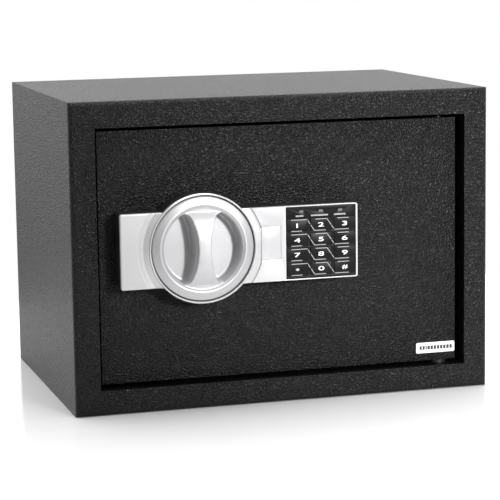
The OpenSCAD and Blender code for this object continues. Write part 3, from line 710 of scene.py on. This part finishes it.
def make_digits():
    for name in KEYS:
        curve = bpy.data.curves.new("digit_" + name, "FONT")
        curve.body = SIGNS.get(name, name)
        curve.align_x = "CENTER"
        curve.align_y = "CENTER"
        curve.size = DIGIT_SIZE * MM
        curve.offset = DIGIT_WEIGHT * MM
        curve.extrude = PRINT_T / 2 * MM
        curve.resolution_u = 6
        obj = bpy.data.objects.new("digit_" + name, curve)
        SCENE.collection.objects.link(obj)
        bpy.context.view_layer.update()
        mesh = bpy.data.meshes.new_from_object(obj.evaluated_get(bpy.context.evaluated_depsgraph_get()))
        bpy.data.objects.remove(obj)
        middle = key_middle(name)
        low = Vector([min(v.co[i] for v in mesh.vertices) for i in range(3)])
        high = Vector([max(v.co[i] for v in mesh.vertices) for i in range(3)])
        mesh.transform(Matrix.Translation(-(low + high) / 2))
        wide = Matrix.Diagonal((SIGN_STRETCH.get(name, DIGIT_STRETCH), 1, 1, 1))
        upright = Matrix.Rotation(math.radians(90), 4, "X")
        place = Matrix.Translation((middle.x, KEY_FACE + PRINT_T / 2 * MM, middle.z))
        mesh.transform(place @ upright @ wide)
        new_piece("digit_" + name, mesh, "key_" + name, PRINT_WHITE)


def make_keypad_bars():
    """Plain bars that stand for the wording under the indicators."""
    bm = bmesh.new()
    low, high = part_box("indicator_lenses")
    z = low.z - INDICATOR_BAR_DROP * MM
    pitch = (high.x - low.x - LENS_LENGTH * MM) / 2
    for column, shift, length in INDICATOR_BARS:
        x = PLATE_X + column * pitch + shift * MM
        bar(bm, (x - length / 2 * MM, z), (x + length / 2 * MM, z), INDICATOR_BAR_T * MM, PLATE_FACE)
    new_piece("indicator_bars", finished(bm, "indicator_bars"), "door", PRINT_GREY)


# ---------------------------------------------------------------- label, mat

LABEL_BARS = (2.0, 2.0, 1.2) + (2.2,) * 8
LABEL_GAP, LABEL_MARGIN, LABEL_BAR_HEIGHT = 0.6, 3, 3.2


def make_label_bars():
    """Plain ink bars on the white sticker, in place of its wording."""
    low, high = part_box("serial_label")
    middle = (low.z + high.z) / 2
    bm = bmesh.new()
    x = low.x + LABEL_MARGIN * MM
    for width in LABEL_BARS:
        bar(bm, (x, middle), (x + width * MM, middle), LABEL_BAR_HEIGHT * MM, low.y - PRINT_T * MM)
        x += (width + LABEL_GAP) * MM
    new_piece("label_bars", finished(bm, "label_bars"), "door", LABEL_INK)


MAT_ANCHOR_X, MAT_HOLE_R = 100, 8
MAT_STEP = 4
MAT_SOFT_EDGE = 2.6
MAT_UNEVEN, MAT_ROUND = 0.16, 0.45
MAT_LUMPS = 60
MAT_HOLE_STEPS = 48


def mat_places(low, high):
    """Points across the mat: close together at its two edges, where the felt thins out, and 4 mm apart between."""
    near = [0, 0.3 * MM, 0.8 * MM, 1.6 * MM, MAT_SOFT_EDGE * MM]
    count = round((high - low) / (MAT_STEP * MM))
    middle = [low + (high - low) * i / count for i in range(1, count)]
    return [low + n for n in near] + middle + [high - n for n in reversed(near)]


def make_mat():
    """The felt mat: a slightly uneven top, soft edges, and a hole over each floor anchor."""
    low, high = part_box("floor_mat")
    thick = high.z - low.z
    loops = []
    for x in mat_places(low.x, high.x):
        top = []
        for y in mat_places(low.y, high.y):
            edge = min(x - low.x, high.x - x, y - low.y, high.y - y)
            dip = MAT_UNEVEN * thick * (0.5 + 0.5 * noise.noise(Vector((x, y, 0)) * MAT_LUMPS))
            round_over = MAT_ROUND * thick * (1 - eased(edge / (MAT_SOFT_EDGE * MM)))
            top.append(Vector((x, y, high.z - dip - round_over)))
        loops.append(top + [Vector((x, high.y, low.z)), Vector((x, low.y, low.z))])
    obj = new_piece("floor_mat_felt", loft("floor_mat_felt", loops), "cabinet", MATERIALS["felt"])
    for side in (1, -1):
        middle = Vector((side * MAT_ANCHOR_X * MM, 0, 0))
        rings = [[middle + Vector((MAT_HOLE_R * MM * math.cos(t), MAT_HOLE_R * MM * math.sin(t), z))
                  for t in (2 * math.pi * i / MAT_HOLE_STEPS for i in range(MAT_HOLE_STEPS))]
                 for z in (low.z - thick, high.z + thick)]
        boolean(obj, loft("hole", rings), "DIFFERENCE")
    smooth_by_angle(obj.data, FELT_SMOOTH_ANGLE)
    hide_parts("floor_mat")


# ---------------------------------------------------------------- light and floor


def aimed_light(name, kind, place, aim, power):
    data = bpy.data.lights.new(name, kind)
    data.energy = power
    obj = bpy.data.objects.new(name, data)
    SCENE.collection.objects.link(obj)
    obj.location = place
    obj.rotation_euler = (Vector(aim) - Vector(place)).to_track_quat("-Z", "Y").to_euler()
    return data


def area_light(name, place, aim, side, power):
    """A square soft box."""
    data = aimed_light(name, "AREA", place, aim, power)
    data.shape = "RECTANGLE"
    data.size = data.size_y = side


def spot_light(name, place, aim, radius, power, angle):
    """A soft-edged spot, brightest at its aim."""
    data = aimed_light(name, "SPOT", place, aim, power)
    data.shadow_soft_size = radius
    data.spot_size = math.radians(angle)
    data.spot_blend = 1.0


# The world's strength in front of the object, behind it and below it, and the directions between which it changes
WORLD_FRONT, WORLD_BACK, WORLD_GROUND = 0.02, 1.6, 0.2
WORLD_TURN = (-0.3, 0.9)
GROUND_TURN = (-0.2, 0.0)


def make_world():
    """A white studio. It is lit from behind, so the front of the room that the object reflects is dark."""
    world = bpy.data.worlds.new("studio")
    SCENE.world = world
    world.use_nodes = True
    tree = world.node_tree
    background = tree.nodes["Background"]
    background.inputs["Color"].default_value = (1, 1, 1, 1)

    def spread(value, source, target, kind="LINEAR"):
        node = tree.nodes.new("ShaderNodeMapRange")
        node.interpolation_type = kind
        node.inputs["From Min"].default_value, node.inputs["From Max"].default_value = source
        node.inputs["To Min"].default_value, node.inputs["To Max"].default_value = target
        tree.links.new(value, node.inputs["Value"])
        return node

    direction = tree.nodes.new("ShaderNodeTexCoord")
    split = tree.nodes.new("ShaderNodeSeparateXYZ")
    tree.links.new(direction.outputs["Generated"], split.inputs["Vector"])
    room = spread(split.outputs["Y"], WORLD_TURN, (WORLD_FRONT, WORLD_BACK), "SMOOTHSTEP")
    ground = spread(split.outputs["Z"], GROUND_TURN, (WORLD_GROUND, 1))
    both = tree.nodes.new("ShaderNodeMath")
    both.operation = "MULTIPLY"
    tree.links.new(room.outputs["Result"], both.inputs[0])
    tree.links.new(ground.outputs["Result"], both.inputs[1])
    rays = tree.nodes.new("ShaderNodeLightPath")
    seen = spread(rays.outputs["Is Camera Ray"], (0, 1), (0, 1))
    tree.links.new(both.outputs["Value"], seen.inputs["To Min"])
    tree.links.new(seen.outputs["Result"], background.inputs["Strength"])


def make_floor():
    mesh = bpy.data.meshes.new("floor")
    side, front, back = 1.1, -0.48, 0.4
    mesh.from_pydata([(-side, front, 0), (side, front, 0), (side, back, 0), (-side, back, 0)], [], [(0, 1, 2, 3)])
    floor = bpy.data.objects.new("floor", mesh)
    SCENE.collection.objects.link(floor)
    n = Nodes("pale_floor")
    tone = n.noise(3, 2.0)
    floor.data.materials.append(n.surface(n.mix(tone, grey(0.86), grey(0.88)), n.spread(tone, 0.10, 0.14)))


def make_lights():
    area_light("key", place=(0.50, -1.95, 0.85), aim=(0, 0, 0.12), side=0.7, power=14)
    spot_light("side", place=(0.62, -2.05, 0.62), aim=(0.20, -0.125, 0.30), radius=0.12, power=275, angle=27)
    area_light("top", place=(0.0, -0.1, 2.0), aim=(0, 0, 0.1), side=1.8, power=54)


# ---------------------------------------------------------------- build

BEND_DEPTH = 4.5
KEY_EDGE = (0.12, 2)
# Edge rounding in millimetres, its segments, and the depth of a welded joint that stays sharp
SOFT_EDGES = {
    "body_shell": (0.5, 2, BEND_DEPTH), "back_panel": (0.3, 2), "door_frame": (0.4, 2, BEND_DEPTH),
    "door_panel": (0.7, 3),
    "fascia_base": (0.5, 2), "keypad_plate": (0.15, 2), "key_cover": (0.4, 2),
    "battery_lid": (0.6, 3), "inner_cover": (0.4, 2), "reset_button": (0.4, 3),
    "cover_screws": (0.4, 2), "strike_bar": (0.3, 2), "hinge_lugs": (0.3, 2), "serial_label": (0.05, 1),
}

make_camera()
paint_cad_nodes()
for node, edge in SOFT_EDGES.items():
    soften(node, *edge)
for name in KEYS:
    soften("key_" + name, *KEY_EDGE)
make_fascia()
make_knob()
make_collar()
make_key_lines()
make_digits()
make_keypad_bars()
make_label_bars()
make_mat()
make_world()
make_floor()
make_lights()
SCENE.view_settings.view_transform = "Standard"
